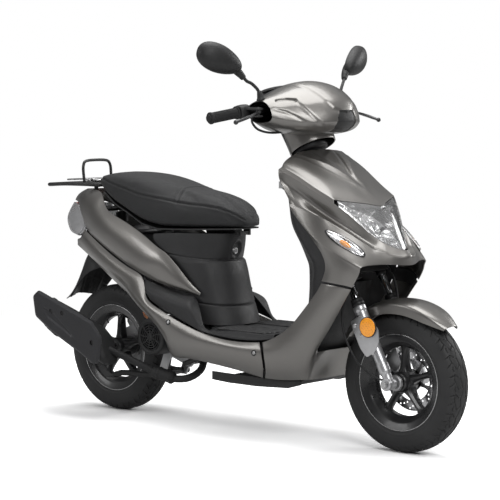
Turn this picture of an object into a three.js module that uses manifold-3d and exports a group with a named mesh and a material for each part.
// Moped scooter, 50 cc class, step-through body, 3.50-10 tyres.
// Units are millimetres. +X forward, +Y to the rider's left, +Z up.
// The origin is on the ground, under the middle of the overall length, on the centre plane.
// x is written below from midway between the axles, and moved by FORE_AFT at the very end.
import * as THREE from 'three';
import { mergeVertices } from 'three/addons/utils/BufferGeometryUtils.js';
import Module from 'manifold-3d';

const wasm = await Module();
wasm.setup();
const { degToRad } = THREE.MathUtils;
const TAU = 2 * Math.PI;

// ---------------------------------------------------------------- driving dimensions
const FORE_AFT = 36;
const WHEELBASE = 1220;
const TYRE_R = 216; // 3.50-10 outside radius
const TYRE_HALF = 45.5; // half the section width
const AXLE_Z = TYRE_R;
const FRONT_X = WHEELBASE / 2;
const FRONT_AXLE = [FRONT_X, AXLE_Z]; // axes that run across the machine are [x, z]
const REAR_AXLE = [-FRONT_X, AXLE_Z];
const CRANK = [-341, 284];
const ENGINE_PIVOT = [-235, 200];
const SHOCK_TOP = [-560, 575];
const SHOCK_LOW = [-640, 300];
const SHOCK_Y = 95;
const STAND_PIVOT = [-372, 150];
const KICK = [-430, 245];
const SEAT_HINGE = [-48, 636];
const RAKE = degToRad(28); // steering axis leans back from vertical
const STEER_X = 585; // steering axis crosses axle height here
const LEG_X = 618; // fork leg axis crosses z = LEG_Z here
const LEG_Z = 212;
const LEG_Y = 84; // fork legs stand this far off the centre plane
const STANCHION_R = 13;
const BAR_R = 11;
const GRIP_R = 16.5;
const PANEL_T = 3; // plastic panel thickness
const GAP = 0.8; // room left round a neighbour
const FLAT = 0.2; // surface detail finer than this is flattened
const RIGHT = -1; // sign of y on each side
const LEFT = 1;
const SIDES = [RIGHT, LEFT];

// ---------------------------------------------------------------- points
const vec = (x, y, z) => new THREE.Vector3(x, y, z);
const distance = (from, to) => vec(...from).distanceTo(vec(...to));
const lerp = (from, to, fraction) => from.map((start, i) => start + (to[i] - start) * fraction);
const polar = ([x, z], radius, angle) => [
  x + radius * Math.cos(angle), z + radius * Math.sin(angle),
];
// a point given for the left, put on either side
const sided = ([x, y, z], side) => [x, side * y, z];
// distances off the centre plane as rising y values
const spanY = (side, near, far) => (side < 0 ? [-far, -near] : [near, far]);
const flipRow = (row) => row.map(([x, y, z]) => [x, -y, z]).reverse();
const mirrored = (net) => net.map(flipRow);
// a row that ends on the centre plane, carried on across it
const acrossRow = (row) => [...row, ...flipRow(row).slice(1)];
const acrossNet = (net) => net.map(acrossRow);

// ---------------------------------------------------------------- solids
function solid(geometry) {
  const loose = geometry.index ? geometry.toNonIndexed() : geometry;
  const bare = new THREE.BufferGeometry();
  bare.setAttribute('position', loose.getAttribute('position'));
  const merged = mergeVertices(bare, 1e-3);
  const index = merged.index.array;
  const kept = [];
  for (let i = 0; i < index.length; i += 3) {
    const corners = [index[i], index[i + 1], index[i + 2]];
    if (new Set(corners).size === 3) kept.push(...corners);
  }
  const make = (triangles) => new wasm.Manifold(new wasm.Mesh({
    numProp: 3,
    vertProperties: merged.attributes.position.array,
    triVerts: new Uint32Array(triangles),
  }));
  const body = make(kept);
  if (body.volume() >= 0) return body;
  // inside out: swap two corners of every triangle
  return make(kept.map((_, i) => kept[i - (i % 3) + [0, 2, 1][i % 3]]));
}

function geometryOf(body) {
  const mesh = body.getMesh();
  const geometry = new THREE.BufferGeometry();
  const positions = new Float32Array(mesh.vertProperties);
  geometry.setAttribute('position', new THREE.BufferAttribute(positions, 3));
  geometry.setIndex(new THREE.BufferAttribute(new Uint32Array(mesh.triVerts), 1));
  geometry.computeVertexNormals();
  return geometry;
}

const union = (...bodies) => bodies.reduce((sum, body) => sum.add(body));
const cut = (body, ...tools) => tools.reduce((rest, tool) => rest.subtract(tool), body);
const biggest = (body) => body.decompose().sort((a, b) => b.volume() - a.volume())[0];
const mirrorSolid = (body) => body.mirror([0, 1, 0]);

// body with room for tool and GAP all round it
const DIRECTIONS = [[1, 0, 0], [-1, 0, 0], [0, 1, 0], [0, -1, 0], [0, 0, 1], [0, 0, -1]];
function clear(body, tool) {
  const shifted = DIRECTIONS.map((way) => tool.translate(way.map((part) => part * GAP)));
  return biggest(cut(body, tool, ...shifted));
}

function rod(from, to, radius, segments = 10, endRadius = radius) {
  const start = vec(...from);
  const end = vec(...to);
  const turn = new THREE.Quaternion();
  turn.setFromUnitVectors(vec(0, 1, 0), end.clone().sub(start).normalize());
  const middle = start.add(end).multiplyScalar(0.5);
  const matrix = new THREE.Matrix4().compose(middle, turn, vec(1, 1, 1));
  const length = distance(from, to);
  const cylinder = new THREE.CylinderGeometry(endRadius, radius, length, segments);
  return solid(cylinder.applyMatrix4(matrix));
}
const alongY = ([x, z], y0, y1, radius, segments = 12, endRadius = radius) =>
  rod([x, y0, z], [x, y1, z], radius, segments, endRadius);

function box([x0, y0, z0], [x1, y1, z1]) {
  const block = new THREE.BoxGeometry(x1 - x0, y1 - y0, z1 - z0);
  return solid(block.translate((x0 + x1) / 2, (y0 + y1) / 2, (z0 + z1) / 2));
}
// a box given for the left, put on either side
function sideBox(side, [x0, near, z0], [x1, far, z1]) {
  const [y0, y1] = spanY(side, near, far);
  return box([x0, y0, z0], [x1, y1, z1]);
}

// a round bar bent through points
function tube(points, radius, segments, steps) {
  const path = new THREE.CatmullRomCurve3(points.map((p) => vec(...p)), false, 'catmullrom', 0.5);
  const circle = new THREE.Shape().absarc(0, 0, radius, 0, TAU);
  return solid(new THREE.ExtrudeGeometry(circle, {
    extrudePath: path, steps, curveSegments: segments / 2, bevelEnabled: false,
  }));
}

// a profile in (x, z) extruded across the machine from y0 to y1
function plateXZ(profile, y0, y1) {
  const shape = new THREE.Shape(profile.map(([x, z]) => new THREE.Vector2(x, z)));
  const plate = new THREE.ExtrudeGeometry(shape, {
    depth: y1 - y0, bevelEnabled: false, steps: 1, curveSegments: 6,
  });
  plate.rotateX(Math.PI / 2); // (x, z, depth) -> (x, -depth, z)
  return solid(plate.translate(0, y1, 0));
}

// a closed section [[radius, y], ...] turned round a wheel axis
function turned(profile, x) {
  const points = [...profile, profile[0]].map(([radius, y]) => new THREE.Vector2(radius, y));
  return solid(new THREE.LatheGeometry(points, 24).translate(x, 0, AXLE_Z));
}

function indexedSolid(positions, index) {
  const geometry = new THREE.BufferGeometry();
  geometry.setAttribute('position', new THREE.Float32BufferAttribute(positions, 3));
  geometry.setIndex(index);
  return solid(geometry);
}

// closed rings of equal length joined into one body with flat ends
function loft(rings) {
  const size = rings[0].length;
  const last = rings.length - 1;
  const positions = rings.flat(2);
  const index = [];
  for (let k = 0; k < last; k++) {
    for (let i = 0; i < size; i++) {
      const here = k * size + i;
      const next = k * size + ((i + 1) % size);
      index.push(here, next, next + size, here, next + size, here + size);
    }
  }
  for (const k of [0, last]) {
    const centre = [0, 0, 0];
    for (const point of rings[k]) for (let j = 0; j < 3; j++) centre[j] += point[j] / size;
    const hub = positions.length / 3;
    positions.push(...centre);
    for (let i = 0; i < size; i++) {
      const here = k * size + i;
      const next = k * size + ((i + 1) % size);
      if (k === 0) index.push(hub, next, here);
      else index.push(hub, here, next);
    }
  }
  return indexedSolid(positions, index);
}

// A moulded panel: nets of surface points that share their edge points, thickened toward
// the inside point. isOpen(net, i, j) leaves a cell of a net out.
function panel(nets, thickness, inside, isOpen = () => false) {
  const points = [];
  const known = new Map();
  const triangles = [];
  const indexOf = (point) => {
    const key = point.map((value) => Math.round(value * 5)).join();
    if (!known.has(key)) {
      known.set(key, points.length);
      points.push(vec(...point));
    }
    return known.get(key);
  };
  for (const net of nets) {
    for (let i = 0; i + 1 < net.length; i++) {
      for (let j = 0; j + 1 < net[i].length; j++) {
        if (isOpen(net, i, j)) continue;
        const corners = [net[i][j], net[i][j + 1], net[i + 1][j + 1], net[i + 1][j]];
        const [a, b, c, d] = corners.map(indexOf);
        if (new Set([a, b, c]).size === 3) triangles.push([a, b, c]);
        if (new Set([a, c, d]).size === 3) triangles.push([a, c, d]);
      }
    }
  }
  const normals = points.map(() => vec(0, 0, 0));
  for (const triangle of triangles) {
    const [a, b, c] = triangle.map((k) => points[k]);
    const normal = b.clone().sub(a).cross(c.clone().sub(a));
    for (const k of triangle) normals[k].add(normal);
  }
  // the normals should point away from the inside point
  const centre = vec(...inside);
  let facing = 0;
  points.forEach((point, i) => {
    normals[i].normalize();
    facing += normals[i].dot(point.clone().sub(centre).normalize());
  });
  const sign = facing < 0 ? -1 : 1;
  const inner = points.map((p, i) => p.clone().addScaledVector(normals[i], -sign * thickness));
  const positions = [...points, ...inner].flatMap((point) => point.toArray());
  const count = points.length;
  const index = [];
  const edges = new Map();
  for (const [a, b, c] of triangles) {
    index.push(a, b, c, a + count, c + count, b + count);
    for (const [from, to] of [[a, b], [b, c], [c, a]]) edges.set(`${from}_${to}`, [from, to]);
  }
  for (const [a, b] of edges.values()) {
    if (!edges.has(`${b}_${a}`)) index.push(b, a, a + count, b, a + count, b + count);
  }
  return indexedSolid(positions, index);
}

// ---------------------------------------------------------------- finishes and parts list
const FINISHES = {
  body_paint: { color: 0x84817c, roughness: 0.35, metalness: 0.6 },
  black_plastic: { color: 0x1b1c1d, roughness: 0.6, metalness: 0 },
  vinyl: { color: 0x2a2b2d, roughness: 0.75, metalness: 0 },
  rubber: { color: 0x151515, roughness: 0.9, metalness: 0 },
  black_metal: { color: 0x1a1a1b, roughness: 0.45, metalness: 0.5 },
  frame_steel: { color: 0x141414, roughness: 0.5, metalness: 0.4 },
  cast_alloy: { color: 0x8d8f92, roughness: 0.45, metalness: 0.8 },
  bright_steel: { color: 0xc9cbce, roughness: 0.2, metalness: 1 },
  clear_lens: { color: 0xdfe6ea, roughness: 0.08, metalness: 0 },
  orange_lens: { color: 0xe8791a, roughness: 0.25, metalness: 0 },
  heat_black: { color: 0x2b2c2e, roughness: 0.55, metalness: 0.3 },
};
const parts = [];
const put = (name, finish, body) => parts.push({ name, finish, body });
function putPair(name, finish, right) {
  put(`${name}_right`, finish, right);
  put(`${name}_left`, finish, mirrorSolid(right));
}

// ---------------------------------------------------------------- steering geometry
const RAKE_SIN = Math.sin(RAKE);
const RAKE_COS = Math.cos(RAKE);
// up along the steering axis from axle height, and square behind it
const onSteer = (along, y = 0, behind = 0) => [
  STEER_X - RAKE_SIN * along - RAKE_COS * behind,
  y,
  AXLE_Z + RAKE_COS * along - RAKE_SIN * behind,
];
const onLeg = (along, y) => [LEG_X - RAKE_SIN * along, y, LEG_Z + RAKE_COS * along];

// ---------------------------------------------------------------- wheels
function tyreAt(x) {
  const half = TYRE_HALF;
  return turned([
    [131.5, -30], [147, -33], [150, -39], [178, -half], [203, -half + 9], [TYRE_R, -14],
    [TYRE_R, 14], [203, half - 9], [178, half], [150, 39], [147, 33], [131.5, 30],
    [133, 22], [178, 36], [204, 18], [204, -18], [178, -36], [133, -22],
  ], x);
}

const SPOKES = 5;
const SPOKE_HALF_DEPTH = 19;
function spoke(x, number) {
  const angle = (number / SPOKES) * TAU + Math.PI / 2;
  const cos = Math.cos(angle);
  const sin = Math.sin(angle);
  const at = (radius, aside, y) => [
    x + radius * cos - aside * sin, y, AXLE_Z + radius * sin + aside * cos,
  ];
  const ring = (radius, half, depth) => [
    at(radius, -half, -depth), at(radius, half, -depth),
    at(radius, half * 0.55, depth), at(radius, -half * 0.55, depth),
  ];
  return loft([ring(22, 15, SPOKE_HALF_DEPTH), ring(109, 13, SPOKE_HALF_DEPTH * 0.62)]);
}

function rimAt(x, hubRight, hubLeft, boreRadius) {
  const hoop = turned([
    [146, -38], [146, -34], [129.5, -32], [127, -20], [112, 0], [127, 20], [129.5, 32],
    [146, 34], [146, 38], [122, 30], [104, 12], [104, -12], [122, -30],
  ], x);
  const axis = [x, AXLE_Z];
  const spokes = Array.from({ length: SPOKES }, (_, k) => spoke(x, k));
  return cut(
    union(hoop, alongY(axis, hubRight, hubLeft, 34, 12), ...spokes),
    alongY(axis, hubRight - 1, hubLeft + 1, boreRadius, 10),
  );
}

// brake disc on the left of the front wheel
const DISC_Y = 36;
const DISC_R = 95;
function brakeDisc() {
  const hole = (centre, radius, segments) =>
    alongY(centre, DISC_Y - 5, DISC_Y + 5, radius, segments);
  const circle = (count, phase, pitchRadius, radius, segments) =>
    Array.from({ length: count }, (_, k) =>
      hole(polar(FRONT_AXLE, pitchRadius, ((k + phase) / count) * TAU), radius, segments));
  return cut(
    alongY(FRONT_AXLE, DISC_Y - 2, DISC_Y + 2, DISC_R, 32),
    ...circle(9, 0, 80, 4.5, 6),
    ...circle(5, 0.5, 47, 14, 8),
    hole(FRONT_AXLE, 12, 12),
  );
}
put('front_tyre', 'rubber', tyreAt(FRONT_X));
put('rear_tyre', 'rubber', tyreAt(REAR_AXLE[0]));
put('front_rim', 'black_metal', rimAt(FRONT_X, -40, 33.4, 6.6));
put('rear_rim', 'black_metal', rimAt(REAR_AXLE[0], -38, 52, 9.4));
put('front_brake_disc', 'bright_steel', brakeDisc());

// ---------------------------------------------------------------- fork
const CROWN_ALONG = 352; // crown height along the steering axis
function forkCrownStem() {
  const [x, , z] = onSteer(CROWN_ALONG);
  const stanchions = SIDES.map((side) =>
    rod(onLeg(142, side * LEG_Y), onLeg(366, side * LEG_Y), STANCHION_R, 10));
  const crown = loft(SIDES.map((side) => {
    const y = side * (LEG_Y + 19);
    return [[x - 26, y, z - 2], [x + 52, y, z + 14], [x + 44, y, z + 44], [x - 26, y, z + 32]];
  }));
  return union(crown, ...stanchions, rod(onSteer(340), onSteer(842), 13.5, 12));
}

// aluminium plate that carries the reflector, [x, z]
const REFLECTOR_PLATE = [
  [481, 396], [505, 412], [552, 419], [588, 380], [590, 345], [577, 315], [545, 293],
  [520, 318], [497, 363],
];
const CALIPER_LUGS = [[516, 300], [532, 318], [580, 300], [590, 262], [548, 246]];
function forkLeg(side) {
  const y = side * LEG_Y;
  const platePin = (along) => {
    const [x, , z] = onLeg(along, 0);
    return alongY([x, z], ...spanY(side, LEG_Y + 6, LEG_Y + 24), 8, 10);
  };
  let leg = union(
    rod(onLeg(34, y), onLeg(262, y), 17.2, 12, 18.6),
    rod(onLeg(246, y), onLeg(264, y), 20, 10),
    rod(onLeg(4, y), onLeg(36, y), 15, 12, 17.2),
    alongY(FRONT_AXLE, y - 18, y + 18, 19, 12),
    plateXZ(REFLECTOR_PLATE, ...spanY(side, LEG_Y + 20.5, LEG_Y + 25)),
    platePin(225),
    platePin(112),
  );
  if (side === RIGHT) {
    leg = leg.subtract(alongY([527, 362], y - 30, y - 19, 6, 8));
  } else {
    leg = union(leg, plateXZ(CALIPER_LUGS, y - 19, y - 11));
  }
  return cut(
    leg,
    rod(onLeg(84, y), onLeg(300, y), STANCHION_R + 0.7, 10),
    alongY(FRONT_AXLE, y - 40, y + 40, 6.6, 10),
  );
}

function frontAxle() {
  const seat = LEG_Y + 18.6; // outer faces of the leg bosses
  return union(
    alongY(FRONT_AXLE, -seat - 3, seat + 3, 6, 10),
    alongY(FRONT_AXLE, -seat - 10, -seat, 10.5, 6),
    alongY(FRONT_AXLE, seat, seat + 9, 10.5, 6),
    alongY(FRONT_AXLE, -LEG_Y + 18.5, -40.6, 9, 10),
    alongY(FRONT_AXLE, DISC_Y + 2.6, LEG_Y - 18.5, 9, 10),
  );
}

const REFLECTOR_AXIS = [551, 386];
function reflector(side) {
  const face = side * (LEG_Y + 32);
  return union(
    alongY(REFLECTOR_AXIS, ...spanY(side, LEG_Y + 25.5, LEG_Y + 32), 30, 12),
    alongY(REFLECTOR_AXIS, face, face + side * 3, 29, 18, 22),
  );
}

// caliper straddles the disc behind the left leg; corners are [radius, degrees] round the axle
const CALIPER = [[64, 126], [112, 122], [115, 140], [115, 156], [110, 168], [64, 166], [56, 146]];
function brakeCaliper(leg) {
  const outline = CALIPER.map(([radius, degrees]) => polar(FRONT_AXLE, radius, degToRad(degrees)));
  const block = plateXZ(outline, DISC_Y - 9, LEG_Y - 20.5)
    .subtract(alongY(FRONT_AXLE, DISC_Y - 2.8, DISC_Y + 2.8, DISC_R + 3, 24));
  const legRoom = rod(onLeg(-40, LEG_Y), onLeg(320, LEG_Y), 21, 10);
  return biggest(clear(block, leg).subtract(legRoom));
}

const FENDER_R = 254;
// [degrees round the axle, drop of the edges, half width]
const FENDER = [
  [152, 20, 30], [139, 30, 46], [124, 38, 54], [108, 42, 60],
  [92, 44, 62], [76, 42, 62], [60, 36, 56], [46, 18, 34],
];
function frontFender() {
  const net = FENDER.map(([degrees, drop, half]) => {
    const at = (radius, y) => {
      const [x, z] = polar(FRONT_AXLE, radius, degToRad(degrees));
      return [x, y, z];
    };
    return acrossRow([
      at(FENDER_R - drop, -half), at(FENDER_R - 14, -half * 0.97),
      at(FENDER_R - 4, -half * 0.66), at(FENDER_R, 0),
    ]);
  });
  return panel([net], 2.6, [FRONT_X, 0, AXLE_Z]);
}
const leftLeg = forkLeg(LEFT);
put('fork_crown_stem', 'frame_steel', forkCrownStem());
put('fork_leg_right', 'cast_alloy', forkLeg(RIGHT));
put('fork_leg_left', 'cast_alloy', leftLeg);
put('front_axle', 'bright_steel', frontAxle());
put('reflector_right', 'orange_lens', reflector(RIGHT));
put('reflector_left', 'orange_lens', reflector(LEFT));
put('brake_caliper', 'cast_alloy', brakeCaliper(leftLeg));
put('front_fender', 'body_paint', frontFender());

// ---------------------------------------------------------------- handlebar
// straight end of the left half, inner and outer point
const BAR_IN = [157, 200, 1035];
const BAR_END = [125, 345, 1011];
const barAt = (side, fraction) => sided(lerp(BAR_IN, BAR_END, fraction), side);
function handlebar() {
  const [x, , z] = onSteer(858);
  const bend = acrossRow([
    barAt(LEFT, 0.02), [168, 150, 1040], [180, 95, 1026], [x + 4, 45, z + 14], [x + 4, 0, z + 8],
  ]);
  const bar = union(
    tube(bend, BAR_R, 8, 10),
    rod(barAt(LEFT, -0.02), barAt(LEFT, 1), BAR_R, 10),
    rod(barAt(RIGHT, -0.02), barAt(RIGHT, 1), BAR_R, 10),
    rod(onSteer(800), onSteer(874), 20, 12),
  );
  return biggest(bar.subtract(rod(onSteer(700), onSteer(843), 13.9, 12)));
}

function grip(side) {
  const piece = (from, to, radius) => rod(barAt(side, from), barAt(side, to), radius, 10);
  return union(piece(0.34, 1.03, GRIP_R), piece(0.34, 0.37, 21), piece(1.0, 1.07, 12.5))
    .subtract(piece(0.2, 1.01, BAR_R + 1));
}

// four corners round a point, in a plane of constant y
const section = ([x, y, z], back, front, half) => [
  [x - back, y, z - half], [x + front, y, z - half],
  [x + front, y, z + half], [x - back, y, z + half],
];
// left lever
const LEVER_PIVOT = [212, 224, 1030];
const LEVER_BALL = [232, 349, 1000];
// [fraction of the length, shift forward, half width, half height]
const LEVER_SECTIONS = [
  [0.02, 0, 7, 3.6], [0.16, 4, 6, 3.6], [0.4, 7, 5.5, 4.6], [0.75, 3, 5, 5], [1, 0, 4, 4.6],
];
function brakeLever(side) {
  const pivot = sided(LEVER_PIVOT, side);
  const tip = sided(LEVER_BALL, side);
  const [x, y, z] = pivot;
  const blade = loft(LEVER_SECTIONS.map(([fraction, shift, width, height]) => {
    const [midX, midY, midZ] = lerp(pivot, tip, fraction);
    return section([midX + shift, midY, midZ], width, width, height);
  }));
  const ball = solid(new THREE.SphereGeometry(7.5, 10, 8).translate(...tip));
  return union(rod([x, y, z - 4], [x, y, z + 4], 8.5, 12), blade, ball);
}

// button axis, parallel to x
function buttonAxis(side) {
  const [x, y, z] = barAt(side, 0.2);
  return (behind) => [x - behind, y, z - 6];
}
function switchHousing(side) {
  const [x, , z] = LEVER_PIVOT;
  const onAxis = buttonAxis(side);
  return biggest(cut(
    union(
      rod(barAt(side, 0.07), barAt(side, 0.315), 22, 12),
      loft([0.1, 0.3].map((fraction) => section(barAt(side, fraction), 24, 22, 20))),
      sideBox(side, [165, 212, 1014], [221, 236, 1043]), // lever perch
    ),
    sideBox(side, [x - 14, 205, z - 9], [x + 20, 262, z + 5]), // slot for the lever
    rod(barAt(side, 0), barAt(side, 0.5), BAR_R + 0.35, 10),
    rod(onAxis(40), onAxis(15.5), 5.6, 10),
  ));
}
const button = (side) => rod(buttonAxis(side)(28.5), buttonAxis(side)(19.5), 5, 10);

put('handlebar', 'frame_steel', handlebar());
put('throttle_grip', 'rubber', grip(RIGHT));
put('left_grip', 'rubber', grip(LEFT));
put('brake_lever_right', 'black_metal', brakeLever(RIGHT));
put('brake_lever_left', 'black_metal', brakeLever(LEFT));
put('switch_housing_right', 'black_plastic', switchHousing(RIGHT));
put('starter_button', 'orange_lens', button(RIGHT));
put('switch_housing_left', 'black_plastic', switchHousing(LEFT));
put('horn_button', 'rubber', button(LEFT));

// ---------------------------------------------------------------- handlebar cover
// hollow, split into a front and a rear half; the outline [x, z] is stretched to each station
const COVER_OUTLINE = [
  [72, 1060], [84, 1084], [148, 1108], [222, 1119], [275, 1113], [325, 1093], [362, 1066],
  [385, 1030], [388, 1000], [370, 974], [325, 960], [250, 955], [180, 956], [115, 980],
  [78, 1020],
];
const OUTLINE_REAR = 72;
const OUTLINE_LENGTH = 388 - OUTLINE_REAR;
const OUTLINE_BOTTOM = 955;
const OUTLINE_HEIGHT = 1119 - OUTLINE_BOTTOM;
// left half: [y, rear x, front x, top z, bottom z]
const COVER_STATIONS = [
  [0, 72, 391, 1119, 955], [50, 75, 386, 1116, 956], [95, 88, 364, 1104, 959],
  [140, 116, 322, 1087, 966], [180, 140, 278, 1072, 983], [204, 150, 250, 1060, 996],
];
// neck round the steering stem: [along the axis, half length, half width, centre ahead of axis]
const NECK_OUTSIDE = [[779, 74, 78, 28], [825, 76, 80, 30], [900, 84, 92, 34]];
const NECK_INSIDE = [[770, 70.6, 74.6, 28], [825, 72.6, 76.6, 30], [904, 80, 88, 34]];

function coverRing([y, rear, front, top, bottom], inset) {
  const length = front - rear - 2 * inset;
  const height = top - bottom - 2 * inset;
  return COVER_OUTLINE.map(([x, z]) => [
    rear + inset + ((x - OUTLINE_REAR) / OUTLINE_LENGTH) * length,
    y,
    bottom + inset + ((z - OUTLINE_BOTTOM) / OUTLINE_HEIGHT) * height,
  ]);
}
const neckLoft = (stations) => loft(stations.map(([along, halfLength, halfWidth, ahead]) =>
  Array.from({ length: 12 }, (_, i) => {
    const angle = (i / 12) * TAU;
    const behind = -ahead - halfLength * Math.cos(angle);
    return onSteer(along, halfWidth * Math.sin(angle), behind);
  })));

function coverShell() {
  const rightStations = COVER_STATIONS.slice(1).reverse().map(([y, ...rest]) => [-y, ...rest]);
  const stations = [...rightStations, ...COVER_STATIONS];
  const outer = loft(stations.map((station) => coverRing(station, 0)));
  // the hollow runs out through both ends
  const hollow = stations.map((station) => [...station]);
  hollow.at(0)[0] -= 6;
  hollow.at(-1)[0] += 6;
  const inner = loft(hollow.map((station) => coverRing(station, 3.4)));
  const neck = neckLoft(NECK_OUTSIDE).subtract(box([0, -200, 1000], [500, 200, 1300]));
  let shell = cut(union(outer, neck), inner, neckLoft(NECK_INSIDE));
  // openings at the ends where the bar comes out
  for (const side of SIDES) {
    shell = cut(
      shell,
      rod(barAt(side, -0.35), barAt(side, 0.6), 27, 10),
      sideBox(side, [120, 196, 985], [262, 260, 1056]),
    );
  }
  return shell;
}

// a block whose rear and front faces are given as x at a height z
const leaningBlock = (rear, front) => plateXZ([
  [rear(850), 850], [front(850), 850], [front(1200), 1200], [rear(1200), 1200],
], -400, 400);
const seamX = (z) => 176 + (1035 - z) * 0.12; // seam leans back toward the top
const SEAM_HALF_GAP = 0.6;
const cover = coverShell();
const aheadOfSeam = leaningBlock((z) => seamX(z) + SEAM_HALF_GAP, () => 600);
const behindSeam = leaningBlock(() => -100, (z) => seamX(z) - SEAM_HALF_GAP);
put('handlebar_cover_front', 'body_paint', biggest(cover.intersect(aheadOfSeam)));
put('handlebar_cover_rear', 'black_plastic', biggest(cover.intersect(behindSeam)));

// ---------------------------------------------------------------- mirrors
const MIRROR_CENTRE = vec(146, -334, 1192);
// [distance along the facing direction, scale of the outline], glass face first
const MIRROR_SECTIONS = [[10, 0.93], [8, 1], [-4, 1], [-18, 0.86], [-27, 0.6], [-31, 0.25]];
function mirrorHead() {
  const lengthwise = vec(0.27, 0.9, -0.36).normalize();
  const face = vec(-0.93, 0.33, 0.05).normalize(); // toward the rider
  const side = lengthwise.clone().addScaledVector(face, -lengthwise.dot(face)).normalize();
  const up = new THREE.Vector3().crossVectors(face, side);
  return loft(MIRROR_SECTIONS.map(([depth, scale]) => Array.from({ length: 14 }, (_, i) => {
    const angle = (i / 14) * TAU;
    const cos = Math.cos(angle);
    const sin = Math.sin(angle);
    const across = 80 * Math.sign(cos) * Math.pow(Math.abs(cos), 0.9) * (cos > 0 ? 1.08 : 0.92);
    const height = 44 * sin * (1 - 0.28 * Math.max(0, cos));
    return MIRROR_CENTRE.clone().addScaledVector(side, across * scale)
      .addScaledVector(up, height * scale).addScaledVector(face, depth).toArray();
  })));
}
function rightMirror() {
  const stem = tube([
    [196, -196, 1078], [191, -204, 1098], [183, -222, 1116], [175, -236, 1124], [170, -248, 1138],
  ], 5, 8, 8);
  const boot = rod([196, -196, 1070], [194, -199, 1092], 10, 12, 7);
  const neck = tube([[171, -246, 1136], [162, -262, 1152], [152, -290, 1174]], 12, 10, 4);
  return union(stem, boot, mirrorHead(), neck);
}
putPair('mirror', 'black_plastic', rightMirror());

// ---------------------------------------------------------------- front bodywork
// Body surfaces are nets of [x, y, z] for the right half.
// Fairing: rows from the top down, points from the outer edge to the centre plane.
const FAIRING = [
  [[270, -110, 904], [271, -96, 906], [272, -83, 908], [272, -67, 909],
    [272, -50, 911], [271, -34, 912], [271, -17, 912], [272, 0, 913]],
  [[270, -117, 901], [288, -102, 894], [307, -87, 886], [329, -70, 878],
    [350, -52, 867], [371, -34, 853], [393, -17, 836], [411, 0, 818]],
  [[266, -138, 892], [293, -118, 884], [318, -100, 872], [346, -81, 857],
    [373, -61, 840], [401, -41, 823], [428, -21, 808], [454, 0, 794]],
  [[265, -165, 877], [316, -150, 860], [360, -136, 836], [400, -118, 812],
    [431, -88, 796], [455, -60, 785], [474, -30, 774], [485, 0, 768]],
  [[267, -177, 862], [325, -170, 835], [384, -160, 801], [447, -147, 767],
    [465, -112, 762], [482, -75, 757], [499, -37, 752], [512, 0, 745]],
  [[260, -188, 855], [328, -178, 823], [386, -167, 790], [451, -152, 756],
    [497, -118, 712], [540, -80, 663], [578, -40, 628], [612, 0, 614]],
  [[268, -192, 823], [323, -172, 788], [384, -160, 747], [446, -144, 709],
    [501, -117, 669], [548, -85, 631], [588, -44, 603], [627, 0, 597]],
  [[312, -187, 751], [362, -186, 738], [418, -177, 716], [466, -150, 687],
    [517, -127, 656], [561, -96, 623], [599, -55, 598], [624, 0, 590]],
  [[310, -190, 736], [358, -195, 696], [416, -194, 653], [473, -188, 627],
    [526, -177, 599], [567, -158, 573], [594, -80, 576], [627, 0, 570]],
];
// Leg covers: rows from the top down, points from the rider's side round to the wheel's side.
const LEG_UPPER = [
  FAIRING[8].slice(0, 6),
  [[388, -188, 657], [424, -194, 638], [459, -194, 619],
    [498, -190, 600], [532, -180, 581], [560, -162, 560]],
  [[444, -185, 582], [469, -192, 578], [492, -192, 570],
    [515, -187, 562], [534, -178, 551], [552, -166, 539]],
  [[429, -183, 523], [456, -190, 522], [479, -190, 520],
    [503, -186, 517], [519, -178, 514], [534, -167, 509]],
];
const LEG_LOWER = [
  [[427, -183, 516], [456, -190, 515], [479, -190, 513],
    [503, -186, 510], [519, -178, 506], [530, -167, 502]],
  [[406, -186, 482], [436, -193, 476], [459, -193, 470],
    [478, -188, 464], [489, -178, 458], [494, -163, 452]],
  [[360, -187, 430], [390, -194, 418], [413, -194, 406],
    [428, -188, 396], [438, -176, 385], [440, -158, 373]],
  [[312, -186, 381], [342, -193, 362], [365, -193, 346],
    [379, -186, 331], [389, -174, 318], [389, -155, 307]],
  [[266, -184, 349], [296, -191, 324], [316, -191, 298],
    [330, -184, 271], [337, -168, 242], [331, -142, 208]],
  [[223, -182, 328], [246, -189, 304], [258, -189, 280],
    [261, -183, 255], [256, -168, 228], [242, -142, 198]],
  [[189, -180, 316], [200, -188, 294], [204, -188, 269],
    [203, -182, 247], [193, -168, 222], [169, -143, 197]],
];

const HEADLIGHT_ROW = 4; // the headlight opening lies between this fairing row and the next
function frontFairing(indicatorHole) {
  const full = acrossNet(FAIRING);
  const isOpen = (net, i, j) => net === full && i === HEADLIGHT_ROW && j >= 3 && j <= 10;
  const shell = panel([full, LEG_UPPER, mirrored(LEG_UPPER)], PANEL_T, [300, 0, 650], isOpen);
  return biggest(cut(shell, indicatorHole, mirrorSolid(indicatorHole)));
}

// a point between the columns of a net row
function alongRow(row, column, lastCell) {
  const cell = Math.min(lastCell, Math.floor(column));
  return lerp(row[cell], row[cell + 1], column - cell);
}

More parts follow.
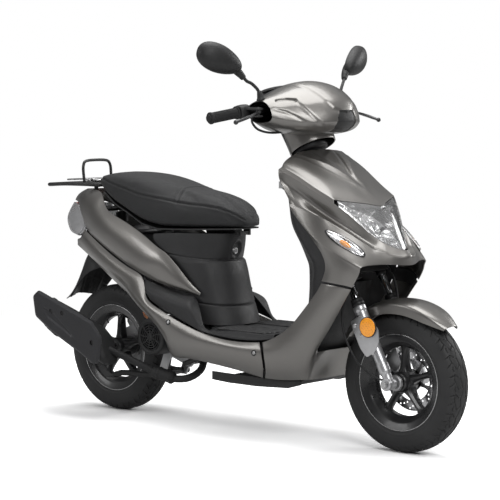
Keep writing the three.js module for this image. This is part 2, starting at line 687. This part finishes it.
// headlight lens: fills the opening, clear all round, domed across
const HEADLIGHT_COLUMNS = [3.34, 3.7, 4.3, 5, 6, 7];
const CENTRE_COLUMN = 7;
function headlight() {
  const columns = HEADLIGHT_COLUMNS.map((column) => {
    const upper = alongRow(FAIRING[HEADLIGHT_ROW], column, 6);
    const lower = alongRow(FAIRING[HEADLIGHT_ROW + 1], column, 6);
    const height = distance(upper, lower);
    const margin = 3.4 / height;
    return [margin, 0.2, 0.5, 0.8, 1 - margin].map((fraction) => {
      const [x, y, z] = lerp(upper, lower, fraction);
      const bulge = Math.sin(fraction * Math.PI) * Math.min(9, height * 0.08);
      const lensY = column === CENTRE_COLUMN ? 0 : y - bulge * 0.25;
      return [x + bulge * 0.8, lensY, z + bulge * 0.45];
    });
  });
  const rows = columns[0].map((_, i) => columns.map((column) => column[i]));
  return panel([acrossNet(rows)], 26, [380, 0, 640]);
}

// front turn signals let into the wings of the fairing
const wingPoint = (column, fraction) =>
  lerp(alongRow(FAIRING[7], column, 5), alongRow(FAIRING[8], column, 5), fraction);
// an oval body; sections are [distance out of the wing, scale]
function indicatorBody(grow, sections) {
  const middle = wingPoint(3.58, 0.5);
  const lengthwise = vec(...wingPoint(4.4, 0.5)).sub(vec(...wingPoint(2.7, 0.44))).normalize();
  const upright = vec(...wingPoint(3.58, 1)).sub(vec(...wingPoint(3.58, 0)));
  const outward = new THREE.Vector3().crossVectors(upright, lengthwise).normalize();
  if (outward.y > 0) outward.negate();
  upright.crossVectors(outward, lengthwise).normalize();
  return loft(sections.map(([depth, scale]) => Array.from({ length: 18 }, (_, i) => {
    const angle = (i / 18) * TAU;
    const cos = Math.cos(angle);
    const length = (72 + grow) * cos;
    const height = (17 + grow) * Math.sin(angle) * (1 + 0.15 * cos);
    return vec(...middle).addScaledVector(lengthwise, length * scale)
      .addScaledVector(upright, height * scale).addScaledVector(outward, depth).toArray();
  })));
}
const indicator = indicatorBody(0, [[-20, 0.9], [-3, 1], [4, 1], [9, 0.86], [12, 0.5]]);
const indicatorHole = indicatorBody(1.6, [[-26, 1], [-3, 1], [4, 1], [20, 1]]);

// lower leg covers, joined by the apron behind the front wheel
function lowerLegCover() {
  const apron = [
    [LEG_LOWER[3][5], [383, -120, 300], [368, -62, 297], [362, 0, 296]],
    [LEG_LOWER[4][5], [336, -118, 206], [343, -62, 206], [345, 0, 206]],
  ];
  return panel([LEG_LOWER, mirrored(LEG_LOWER), acrossNet(apron)], PANEL_T, [250, 0, 400]);
}

// inner leg shield, facing the rider: rows from the top down, outer edge to centre plane
const LEGSHIELD = [
  [[264, -114, 888], [256, -100, 888], [236, -84, 884], [205, -52, 876], [180, 0, 868]],
  [[270, -156, 861], [262, -142, 860], [238, -110, 858], [200, -62, 854], [173, 0, 850]],
  [[280, -172, 826], [266, -166, 826], [234, -130, 826], [196, -70, 826], [172, 0, 826]],
  [[306, -168, 780], [290, -170, 780], [260, -138, 772], [206, -74, 768], [180, 0, 766]],
  [[322, -176, 735], [302, -176, 735], [270, -140, 726], [216, -76, 720], [190, 0, 718]],
  [[364, -179, 690], [318, -174, 690], [280, -138, 676], [228, -76, 668], [201, 0, 664]],
  [[422, -177, 620], [354, -168, 620], [322, -134, 614], [268, -76, 608], [214, 0, 604]],
  [[446, -175, 566], [386, -162, 566], [354, -130, 560], [304, -76, 554], [234, 0, 550]],
  [[422, -176, 500], [384, -164, 500], [352, -134, 496], [304, -78, 492], [240, 0, 490]],
  [[390, -178, 448], [372, -166, 448], [344, -134, 444], [298, -80, 440], [240, 0, 438]],
  [[354, -178, 408], [338, -168, 408], [314, -138, 400], [284, -82, 396], [242, 0, 394]],
  [[304, -178, 372], [290, -170, 370], [276, -140, 364], [262, -84, 360], [246, 0, 358]],
  [[276, -176, 352], [264, -168, 350], [250, -140, 347], [242, -84, 346], [236, 0, 345]],
];
// ignition lock axis, parallel to x
const lockAt = (ahead) => [196 + ahead, -62, 800];
function legshield() {
  const shield = panel([acrossNet(LEGSHIELD)], PANEL_T, [600, 0, 620]);
  return biggest(union(shield, rod(lockAt(-14), lockAt(22), 13, 12))
    .subtract(rod(lockAt(-40), lockAt(12), 4.6, 10)));
}
function ignitionKey() {
  const [x, y, z] = lockAt(0);
  const bow = box([x - 38, y - 3, z - 11], [x - 20, y + 3, z + 11]);
  return union(rod(lockAt(-24), lockAt(8), 4, 10), bow);
}
put('front_fairing', 'body_paint', frontFairing(indicatorHole));
put('headlight_unit', 'clear_lens', headlight());
putPair('front_indicator', 'clear_lens', indicator);
put('lower_leg_cover', 'body_paint', lowerLegCover());
put('legshield_inner', 'black_plastic', legshield());

// ---------------------------------------------------------------- side and rear bodywork
// rows from front to rear, points from the top down
const SKIRT = [
  [[178, -180, 315], [190, -188, 293], [194, -188, 268],
    [193, -182, 246], [182, -168, 221], [159, -143, 197]],
  [[101, -184, 310], [112, -192, 293], [112, -192, 274],
    [107, -186, 254], [92, -172, 232], [70, -150, 212]],
  [[20, -188, 314], [22, -195, 298], [17, -195, 280],
    [8, -189, 261], [-14, -175, 240], [-41, -155, 224]],
  [[-67, -188, 328], [-69, -195, 309], [-78, -195, 289],
    [-92, -189, 270], [-118, -175, 248], [-146, -155, 232]],
  [[-158, -184, 352], [-160, -191, 330], [-170, -191, 307],
    [-181, -186, 282], [-204, -172, 256], [-227, -155, 236]],
  [[-253, -178, 385], [-251, -185, 368], [-256, -185, 348],
    [-256, -180, 328], [-257, -170, 310], [-258, -155, 296]],
  [[-315, -171, 410], [-317, -178, 398], [-322, -178, 385],
    [-324, -173, 371], [-328, -163, 357], [-327, -150, 349]],
  [[-334, -165, 442], [-352, -170, 435], [-371, -170, 425],
    [-390, -165, 415], [-405, -155, 407], [-407, -143, 401]],
  [[-359, -154, 486], [-381, -160, 475], [-404, -160, 464],
    [-427, -156, 454], [-451, -146, 443], [-469, -133, 434]],
  [[-422, -146, 507], [-445, -152, 499], [-468, -152, 491],
    [-491, -148, 484], [-516, -138, 477], [-540, -124, 471]],
  [[-503, -136, 538], [-521, -142, 531], [-540, -142, 525],
    [-564, -138, 518], [-588, -128, 512], [-615, -112, 510]],
  [[-590, -121, 576], [-603, -127, 569], [-618, -127, 562],
    [-638, -122, 553], [-658, -112, 546], [-683, -98, 543]],
  [[-678, -102, 617], [-683, -107, 603], [-690, -107, 592],
    [-703, -102, 581], [-715, -95, 572], [-734, -85, 563]],
  [[-686, -101, 613], [-700, -99, 600], [-712, -95, 592],
    [-728, -88, 588], [-743, -80, 583], [-748, -74, 568]],
];
const REAR_PANEL = [
  [[-123, -125, 445], [-122, -127, 442], [-122, -128, 439], [-124, -128, 436], [-130, -127, 436]],
  [[-161, -131, 475], [-159, -138, 466], [-163, -141, 457], [-171, -140, 450], [-181, -136, 446]],
  [[-207, -141, 524], [-207, -151, 505], [-216, -155, 485], [-232, -153, 468], [-252, -146, 460]],
  [[-255, -147, 567], [-257, -159, 543], [-271, -163, 517], [-293, -159, 492], [-319, -151, 479]],
  [[-291, -152, 586], [-302, -164, 563], [-321, -169, 533], [-350, -163, 507], [-380, -151, 499]],
  [[-352, -146, 618], [-367, -159, 592], [-390, -164, 561], [-426, -156, 536], [-459, -142, 528]],
  [[-424, -139, 649], [-439, -152, 621], [-463, -156, 593], [-501, -147, 566], [-537, -131, 560]],
  [[-493, -131, 673], [-509, -143, 647], [-535, -146, 623], [-570, -136, 597], [-602, -119, 588]],
  [[-543, -124, 690], [-557, -134, 672], [-585, -135, 650], [-620, -125, 628], [-652, -108, 611]],
  [[-581, -110, 720], [-600, -120, 703], [-628, -121, 685], [-661, -111, 663], [-679, -101, 634]],
  [[-609, -96, 752], [-630, -104, 737], [-665, -104, 717], [-699, -95, 694], [-711, -91, 675]],
  [[-686, -60, 759], [-705, -70, 748], [-728, -72, 735], [-743, -70, 723], [-751, -67, 710]],
  [[-772, -2, 756], [-797, -2, 746], [-817, -2, 735], [-830, -2, 722], [-835, -2, 713]],
];
// tail lamp: rows from the right edge to the centre plane, points from the top down
const TAIL = [
  [[-738, -79, 704], [-712, -90, 671], [-687, -100, 627], [-725, -88, 597]],
  [[-768, -60, 706], [-756, -74, 670], [-746, -80, 626], [-754, -72, 600]],
  [[-805, -30, 707], [-820, -38, 666], [-821, -40, 628], [-808, -36, 600]],
  [[-839, 0, 706], [-868, 0, 666], [-873, 0, 634], [-853, 0, 603]],
];
// cover under the seat nose: rows from the top down, outer edge to centre plane
const POST = [
  [[-330, -128, 626], [-250, -130, 632], [-186, -116, 634], [-135, -96, 634],
    [-98, -68, 634], [-76, -38, 634], [-70, 0, 634]],
  [[-320, -134, 600], [-245, -130, 600], [-186, -116, 600], [-137, -96, 600],
    [-100, -68, 600], [-78, -38, 600], [-72, 0, 600]],
  [[-262, -135, 566], [-220, -127, 566], [-178, -113, 566], [-138, -94, 566],
    [-104, -66, 566], [-85, -36, 566], [-80, 0, 566]],
  [[-246, -133, 548], [-205, -126, 548], [-168, -113, 548], [-136, -94, 548],
    [-108, -66, 548], [-92, -36, 548], [-87, 0, 548]],
  [[-240, -131, 540], [-198, -126, 539], [-158, -115, 538], [-125, -97, 538],
    [-103, -68, 538], [-87, -37, 538], [-82, 0, 538]],
  [[-212, -126, 510], [-178, -123, 508], [-143, -114, 506], [-113, -97, 505],
    [-92, -70, 504], [-75, -38, 503], [-70, 0, 502]],
  [[-176, -120, 465], [-150, -118, 463], [-124, -110, 461], [-99, -94, 458],
    [-80, -71, 456], [-64, -38, 455], [-59, 0, 454]],
  [[-160, -120, 415], [-135, -118, 413], [-110, -110, 411], [-84, -95, 409],
    [-65, -72, 407], [-50, -39, 406], [-45, 0, 405]],
  [[-150, -122, 385], [-126, -120, 384], [-100, -112, 382], [-75, -97, 380],
    [-54, -73, 378], [-38, -39, 377], [-33, 0, 376]],
  [[-140, -124, 343], [-115, -122, 343], [-88, -114, 342], [-62, -99, 341],
    [-42, -74, 341], [-26, -40, 341], [-21, 0, 341]],
];
// floorboard, front to rear: [x, half width, edge z, floor z]
const FLOOR = [
  [226, 172, 330, 342], [178, 172, 321, 337], [101, 177, 316, 337], [20, 181, 320, 337],
  [-67, 182, 331, 337],
].map(([x, half, edge, z]) => [
  [x, -half, edge], [x, -half + 2, edge + (z - edge) * 0.45], [x, -half + 9, z - 1],
  [x, -half + 15, z], [x, -120, z], [x, -60, z], [x, 0, z],
]);
// pillion step that runs up beside the seat post, from the last floor row to the rear
const STEP = [
  FLOOR.at(-1).slice(0, 4),
  [[-110, -181, 343], [-108, -184, 372], [-107, -184, 400], [-128, -134, 422]],
  [[-158, -178, 357], [-157, -184, 385], [-157, -184, 412], [-178, -139, 435]],
  [[-253, -172, 390], [-253, -180, 410], [-254, -180, 432], [-268, -149, 456]],
  [[-315, -165, 415], [-318, -173, 430], [-322, -173, 448], [-330, -154, 474]],
  [[-330, -155, 440], [-334, -160, 452], [-338, -160, 462], [-345, -149, 478]],
  [[-344, -148, 474], [-348, -151, 478], [-352, -150, 481], [-358, -145, 487]],
];
// rear mudguard: rows from front to rear, points from the right edge to the centre plane
const GUARD = [
  [[-560, -58, 516], [-560, -52, 526], [-560, -28, 534], [-560, 0, 536]],
  [[-634, -62, 494], [-638, -54, 518], [-640, -28, 529], [-640, 0, 532]],
  [[-664, -78, 484], [-672, -68, 512], [-684, -38, 538], [-690, 0, 546]],
  [[-706, -80, 463], [-712, -71, 500], [-728, -40, 530], [-748, 0, 546]],
  [[-746, -78, 425], [-746, -68, 455], [-760, -40, 478], [-784, 0, 494]],
  [[-776, -76, 396], [-774, -66, 414], [-782, -40, 428], [-808, 0, 440]],
  [[-812, -70, 374], [-806, -60, 380], [-808, -38, 384], [-828, 0, 388]],
];

// trimmed just short of the centre plane at the tail
const rearPanel = biggest(panel([REAR_PANEL], PANEL_T, [-300, 0, 500])
  .subtract(box([-900, -1.2, 600], [-600, 60, 900])));
const tailLamp = () =>
  [rearPanel, mirrorSolid(rearPanel)].reduce(clear, panel([acrossNet(TAIL)], 14, [-640, 0, 640]));

// wheel-arch liner and belly pan, one moulding; [x, z] from behind the wheel down and back
const LINER = [
  [378, 500], [370, 455], [361, 410], [353, 360], [345, 318], [338, 285], [330, 250],
  [322, 214], [300, 190], [250, 176], [120, 168], [0, 168], [-70, 172],
];
const PAN_SIDE = [
  [300, 186], [250, 172], [120, 165], [0, 165], [-70, 169], [-70, 196], [120, 194],
  [250, 194], [300, 200],
];
function underbodyLiner() {
  const offset = LINER.map(([x, z], i) => {
    const before = LINER[Math.max(0, i - 1)];
    const after = LINER[Math.min(LINER.length - 1, i + 1)];
    const runX = after[0] - before[0];
    const runZ = after[1] - before[1];
    const run = Math.hypot(runX, runZ);
    return [x + (runZ / run) * PANEL_T, z - (runX / run) * PANEL_T];
  });
  const sides = SIDES.map((side) => plateXZ(PAN_SIDE, ...spanY(side, 124, 128)));
  return union(plateXZ([...LINER, ...offset.reverse()], -128, 128), ...sides);
}

function luggageRack() {
  const loop = acrossRow([
    [-652, -62, 773], [-700, -76, 775], [-800, -84, 774], [-868, -84, 770], [-890, -66, 769],
    [-891.86, 0, 769],
  ]);
  const hoop = acrossRow([
    [-722, -64, 776], [-726, -66, 812], [-728, -64, 838], [-730, -50, 853], [-731, 0, 856],
  ]);
  const bars = union(
    alongY([-722, 776], -76, 76, 5, 8),
    alongY([-812, 773], -84, 84, 5, 8),
    alongY([-660, 773], -66, 66, 6, 8),
  );
  const feet = union(
    ...SIDES.map((side) => rod([-690, side * 40, 775], [-690, side * 40, 708], 7, 8)),
    alongY([-690, 775], -72, 72, 6, 8),
  );
  return union(tube(loop, 6.5, 6, 15), tube(hoop, 5, 6, 12), bars, feet);
}
putPair('side_skirt', 'body_paint', panel([SKIRT], PANEL_T, [-200, 0, 400]));
putPair('rear_panel', 'body_paint', rearPanel);
put('tail_lamp', 'clear_lens', tailLamp());
put('seat_post_cover', 'black_plastic', panel([acrossNet(POST)], PANEL_T, [-260, 0, 500]));
put('floorboard', 'black_plastic',
  panel([acrossNet(FLOOR), STEP, mirrored(STEP)], 2.6, [-100, 0, 100]));
put('underbody_liner', 'black_plastic', underbodyLiner());
put('rear_mudguard', 'black_plastic', panel([acrossNet(GUARD)], 3, [-640, 0, 380]));
put('luggage_rack', 'frame_steel', luggageRack());

// ---------------------------------------------------------------- seat, storage, tank, battery
// front to rear: [x, half width, bottom z, top z]
const SEAT = [
  [-2, 24, 656, 668], [-12, 44, 655, 690], [-30, 62, 655, 711], [-56, 78, 654, 729],
  [-90, 93, 653, 745], [-140, 109, 651, 755], [-190, 121, 649, 760], [-250, 132, 647, 770],
  [-320, 139, 646, 791], [-390, 139, 660, 809], [-460, 136, 694, 819], [-530, 128, 722, 823],
  [-590, 112, 758, 821], [-625, 92, 781, 812], [-645, 64, 790, 803],
];
const seatCushion = () => loft(SEAT.map(([x, half, bottom, top]) => {
  const height = top - bottom;
  return acrossRow([
    [x, -half * 0.94, bottom], [x, -half, bottom + height * 0.28],
    [x, -half * 0.97, bottom + height * 0.62], [x, -half * 0.82, bottom + height * 0.88],
    [x, -half * 0.45, top - 1], [x, 0, top],
  ]);
}));

function seatBase() {
  const net = SEAT.slice(2, 13).map(([x, half, bottom]) =>
    [-half * 0.88, -half * 0.45, 0].map((y) => [x, y, bottom - 1.2]));
  const lugs = [LEFT, RIGHT].map((side) => sideBox(side, [-64, 17, 628], [-38, 25, 650]));
  return union(panel([acrossNet(net)], 5, [-300, 0, -2000]), ...lugs)
    .subtract(alongY(SEAT_HINGE, -40, 40, 4.6, 10));
}

const storageBox = () => union(
  box([-440, -88, 448], [-155, 88, 618]).subtract(box([-436, -84, 452], [-159, 84, 700])),
  // arm and pin of the seat hinge
  box([-161, -16, 600], [-155, 16, 641]),
  box([-161, -16, 635.5], [-56, 16, 641]),
  box([-58, -16, 630], [-40, 16, 641]),
  alongY(SEAT_HINGE, -28, 28, 4, 10),
);

const TANK = [[-518, 556], [-655, 572], [-672, 630], [-656, 662], [-532, 640], [-516, 615]];
const fuelTank = () => union(plateXZ(TANK, -64, 64), rod([-600, 0, 640], [-606, 0, 684], 22, 10));

const battery = () => union(
  box([15, -42, 222], [155, 42, 304]),
  ...SIDES.map((side) => sideBox(side, [30, 18, 303], [48, 32, 312])),
);
put('seat_cushion', 'vinyl', seatCushion());
put('seat_base', 'black_plastic', seatBase());
put('storage_box', 'black_plastic', storageBox());
put('fuel_tank', 'frame_steel', fuelTank());
put('battery', 'black_plastic', battery());

// ---------------------------------------------------------------- main frame
// left side tube, front to rear
const FRAME_SIDE = [
  [262, 90, 262], [190, 96, 248], [60, 100, 244], [-60, 98, 262], [-118, 97, 330],
  [-150, 98, 420], [-220, 106, 490], [-330, 115, 540], [-470, 110, 606], [-600, 82, 660],
  [-668, 76, 690],
];
function engineHanger(side) {
  const [x, z] = ENGINE_PIVOT;
  return union(
    rod([-60, side * 98, 262], [x, side * 76, z], 9, 8),
    rod([-118, side * 97, 330], [-150, side * 88, 231], 8, 6),
  );
}
function mainFrame() {
  const [shockX, shockZ] = SHOCK_TOP;
  const down = [
    onSteer(560, 0, 10), [330, 0, 600], [300, 0, 500], [280, 0, 400], [264, 0, 330],
  ];
  const frame = union(
    rod(onSteer(406), onSteer(752), 21, 12), // steering head
    tube(down, 20, 8, 6),
    tube([[266, 0, 345], [263, 0, 300], [262, 0, 262]], 20, 8, 3),
    alongY([262, 262], -96, 96, 13, 10),
    ...SIDES.map((side) => tube(FRAME_SIDE.map((point) => sided(point, side)), 11, 6, 11)),
    ...SIDES.map(engineHanger),
    alongY(ENGINE_PIVOT, -84, 84, 8, 10),
    alongY([-90, 296], -104, 104, 9, 8),
    alongY([-500, 618], -106, 106, 9, 8),
    alongY([-668, 690], -78, 78, 9, 8),
    union( // arm and pin of the shock absorber
      rod([-520, 104, 628], [shockX, SHOCK_Y + 22, shockZ], 6, 8),
      alongY(SHOCK_TOP, SHOCK_Y - 14, SHOCK_Y + 25, 6, 10),
    ),
  );
  return biggest(frame.subtract(rod(onSteer(300), onSteer(900), 15, 12)));
}
put('main_frame', 'frame_steel', mainFrame());

// ---------------------------------------------------------------- engine unit
// belt case on the left: an arc round the crankshaft and one round the rear axle
function beltCase() {
  const arc = (centre, radius, from, to) => Array.from({ length: 7 }, (_, i) =>
    polar(centre, radius, degToRad(from + ((to - from) * i) / 6)));
  const outline = [...arc(CRANK, 74, 96, -70), ...arc(REAR_AXLE, 70, -88, -262)];
  const lid = outline.map(([x, z]) => [x * 0.93 + -475 * 0.07, z * 0.93 + 250 * 0.07]);
  return [plateXZ(outline, 62, 124), plateXZ(lid, 123, 134)];
}
// cylinder, fins, head and its port stubs, pointing forward
const cylinderGroup = () => [
  rod([-330, 0, 287], [-212, 0, 281], 30, 12),
  ...[0, 1, 2].map((i) => box([-280 + i * 25, -42, 238], [-272 + i * 25, 42, 330])),
  box([-214, -38, 244], [-160, 38, 322]),
  rod([-170, -30, 300], [-150, -62, 312], 8, 8),
  rod([-188, -16, 262], [-188, -34, 222], 11, 10), // exhaust
  rod([-196, 10, 310], [-203, 13, 341], 12, 10), // intake
];
function mountingLugs() {
  const [pivotX, pivotZ] = ENGINE_PIVOT;
  const [shockX, shockZ] = SHOCK_LOW;
  const hanger = [
    [-330, 262], [-300, 250], [pivotX - 8, pivotZ + 15], [pivotX + 15, pivotZ],
    [pivotX, pivotZ - 15], [pivotX - 20, pivotZ - 8], [-345, 222],
  ];
  const shockLug = [
    [-610, 285], [-560, 280], [-600, 316], [shockX + 10, shockZ + 14],
    [shockX - 12, shockZ + 8], [shockX - 12, shockZ - 8], [-640, 276],
  ];
  const stand = [[-350, 232], [-315, 232], [-355, 138], [-385, 138]];
  return [
    ...SIDES.map((side) => plateXZ(hanger, ...spanY(side, 46, 58))),
    alongY(REAR_AXLE, 56, 66, 40, 12),
    plateXZ(shockLug, 69, 81),
    alongY(SHOCK_LOW, 75, SHOCK_Y + 13, 5, 10),
    ...SIDES.map((side) => plateXZ(stand, ...spanY(side, 51, 57))),
    box([-352, -57, 222], [-318, 57, 236]),
  ];
}
function engineCase() {
  const [belt, lid] = beltCase();
  // crankcase, cut short ahead of the tyre
  const crankcase = alongY(CRANK, -58, 66, 60, 14)
    .intersect(box([-378, -70, 200], [-200, 80, 380]));
  return biggest(cut(
    union(belt, lid, crankcase, ...cylinderGroup(), ...mountingLugs()),
    alongY(ENGINE_PIVOT, -100, 100, 8.6, 10),
    alongY(REAR_AXLE, 50, 118, 9.6, 10),
    alongY(STAND_PIVOT, -100, 100, 6.4, 10),
    alongY(CRANK, -100, -20, 8.6, 10),
    alongY(KICK, 110, 200, 8.6, 10),
    alongY(REAR_AXLE, -54, 54.5, TYRE_R + 6, 24), // room for the tyre
  ));
}
const rearAxle = () =>
  union(alongY(REAR_AXLE, -52, 116, 8.6, 10), alongY(REAR_AXLE, -52, -39, 15, 6));

// a box given from the crank axis, turned round it
const roundCrank = (low, high, degrees) =>
  box(low, high).rotate([0, degrees, 0]).translate([CRANK[0], 0, CRANK[1]]);
// cooling fan and its cowl on the right
function coolingFan() {
  const blades = Array.from({ length: 8 }, (_, i) =>
    roundCrank([24, -102, -1.3], [45, -90, 1.3], (i * 360) / 8));
  return union(
    alongY(CRANK, -92, -88, 46, 24),
    alongY(CRANK, -112, -26, 8, 10),
    alongY(CRANK, -112, -86, 14, 12),
    ...blades,
  );
}
function fanCover() {
  const slots = Array.from({ length: 9 }, (_, i) =>
    roundCrank([17, -150, -4], [47, -120, 4], i * 40));
  return biggest(cut(
    union(
      alongY(CRANK, -132, -62, 62, 24),
      alongY(CRANK, -140, -131, 62, 24, 58),
      box([-310, -96, 246], [-222, -62, 322]),
    ),
    alongY(CRANK, -130, -50, 52, 14),
    box([-312, -92, 250], [-226, -50, 318]),
    ...slots,
  ));
}

const AIRBOX = [[-556, 364], [-440, 364], [-420, 382], [-428, 422], [-556, 422], [-566, 398]];
const airbox = () => union(
  plateXZ(AIRBOX, 60, 122),
  tube([[-425, 92, 398], [-370, 70, 396], [-320, 40, 390], [-262, 18, 384]], 15, 8, 5),
  rod([-276, 20, 386], [-216, 15, 372], 21, 10),
  rod([-240, 17, 386], [-236, 17, 348], 14, 10),
  rod([-222, 15, 374], [-206, 14, 354], 12, 10),
).subtract(alongY(REAR_AXLE, -56, 57, TYRE_R + 8, 24));

// ---------------------------------------------------------------- exhaust
const PIPE = [
  [-186, -38, 214], [-184, -60, 180], [-200, -96, 158], [-245, -112, 151], [-300, -122, 158],
  [-360, -142, 184], [-420, -160, 208], [-470, -178, 228], [-500, -190, 240],
];
// silencer, front to rear: [x, z, half width, half height, y]
const SILENCER = [
  [-474, 238, 34, 40, -188], [-490, 242, 44, 60, -192], [-620, 288, 46, 62, -196],
  [-745, 330, 44, 58, -198], [-775, 340, 34, 46, -198],
];
// its section: [fraction of half width, fraction of half height]
const SILENCER_SECTION = [
  [1, -0.55], [0.5, -1], [-0.5, -1], [-1, -0.6], [-1, 0.5], [-0.55, 1], [0.55, 1], [1, 0.5],
];
const SILENCER_LEAN = 0.42; // sections lean back with height
const silencer = () => loft(SILENCER.map(([x, z, halfWidth, halfHeight, y]) =>
  SILENCER_SECTION.map(([across, up]) => {
    const pointZ = z + halfHeight * up;
    return [x - (pointZ - z) * SILENCER_LEAN, y + halfWidth * across, pointZ];
  })));
const EXHAUST_HANGER = [
  [-560, 300], [-600, 320], [-620, 250], [-622, 200], [-598, 200], [-580, 250],
];
const exhaust = () => union(
  tube(PIPE, 12, 8, 12),
  rod([-330, -130, 169], [-248, -113, 152], 20, 12),
  silencer(),
  rod([-760, -186, 330], [-806, -186, 342], 13, 10),
  plateXZ(EXHAUST_HANGER, -152, -146),
  rod([-610, -152, 216], [-610, -60, 216], 11, 10), // carries the right end of the wheel shaft
).subtract(tube([[-186, -30, 230], [-186, -38, 214]], 6, 8, 1));

// heat shield outside the silencer
const SHIELD = [
  [-470, 196], [-455, 282], [-500, 332], [-640, 380], [-760, 420], [-790, 398], [-778, 330],
  [-700, 284], [-560, 222], [-500, 190],
];
const SHIELD_HOLES = [[-642, 350], [-697, 352], [-500, 262]];
const heatShield = () => cut(
  plateXZ(SHIELD, -251, -246.5),
  ...SHIELD_HOLES.map((axis) => alongY(axis, -260, -240, 9, 8)),
);
put('engine_case', 'cast_alloy', engineCase());
put('rear_axle', 'bright_steel', rearAxle());
put('cooling_fan', 'black_plastic', coolingFan());
put('fan_cover', 'black_plastic', fanCover());
put('airbox', 'black_plastic', airbox());
put('exhaust', 'heat_black', exhaust());
put('heat_shield', 'heat_black', heatShield());

// ---------------------------------------------------------------- kick lever, stand, shock
function kickLever() {
  const [x, z] = KICK;
  return union(
    alongY(KICK, 112, 158, 7.6, 10),
    alongY(KICK, 142, 160, 14, 12),
    rod([x, 151, z], [x - 60, 155, z + 26], 8, 10),
    rod([x - 60, 155, z + 26], [x - 150, 160, z + 20], 8, 10, 7),
    alongY([x - 150, z + 20], 150, 206, 9, 10),
  );
}

function standLeg(side) {
  const [x, z] = STAND_PIVOT;
  const at = (back, y, down) => [x - back, side * y, z - down];
  return union(
    tube([at(0, 71, 0), at(50, 78, 6), at(130, 98, 4), at(160, 118, 14)], 10, 6, 6),
    sideBox(side, [x - 180, 106, z - 26], [x - 148, 132, z - 20]),
    rod(at(158, 117, 12), at(162, 120, 24), 9, 8),
  );
}
const centreStand = () => union(
  ...SIDES.map(standLeg),
  alongY(STAND_PIVOT, -72, 72, 5.8, 10),
  alongY(STAND_PIVOT, -50, 50, 11, 10),
  alongY(STAND_PIVOT, -78, -58, 12, 10),
  alongY(STAND_PIVOT, 58, 78, 12, 10),
);

const shockTop = [SHOCK_TOP[0], SHOCK_Y, SHOCK_TOP[1]];
const shockLow = [SHOCK_LOW[0], SHOCK_Y, SHOCK_LOW[1]];
const SHOCK_LENGTH = distance(shockTop, shockLow);
// a rod on the shock axis, between distances from its top
function shockRod(from, to, radius, segments) {
  const at = (down) => lerp(shockTop, shockLow, down / SHOCK_LENGTH);
  return rod(at(from), at(to), radius, segments);
}
const shockUpper = () => cut(
  union(
    alongY(SHOCK_TOP, SHOCK_Y - 12, SHOCK_Y + 12, 14, 12),
    shockRod(8, 150, 17, 12),
    shockRod(26, 34, 26, 12),
  ),
  shockRod(60, 200, 6.8, 10),
  alongY(SHOCK_TOP, 60, 180, 6.6, 10),
);
const shockLower = () => union(
  alongY(SHOCK_LOW, SHOCK_Y - 11, SHOCK_Y + 11, 14, 12),
  shockRod(106, SHOCK_LENGTH - 6, 6.2, 10),
  shockRod(SHOCK_LENGTH - 34, SHOCK_LENGTH - 26, 26, 12),
).subtract(alongY(SHOCK_LOW, 60, 180, 7.2, 10));
put('kick_lever', 'black_metal', kickLever());
put('centre_stand', 'frame_steel', centreStand());
put('shock_upper', 'bright_steel', shockUpper());
put('shock_lower', 'bright_steel', shockLower());
put('ignition_key', 'bright_steel', ignitionKey());

// ---------------------------------------------------------------- assembly
const materials = {};
for (const [name, look] of Object.entries(FINISHES)) {
  materials[name] = new THREE.MeshStandardMaterial({ name, ...look });
}
const scooter = new THREE.Group();
scooter.name = 'moped_scooter';
for (const part of parts) part.body = biggest(part.body.simplify(FLAT));
for (const { name, finish, body } of parts) {
  const mesh = new THREE.Mesh(geometryOf(body), materials[finish]);
  mesh.geometry.translate(FORE_AFT, 0, 0);
  mesh.name = name;
  scooter.add(mesh);
}
export default scooter;
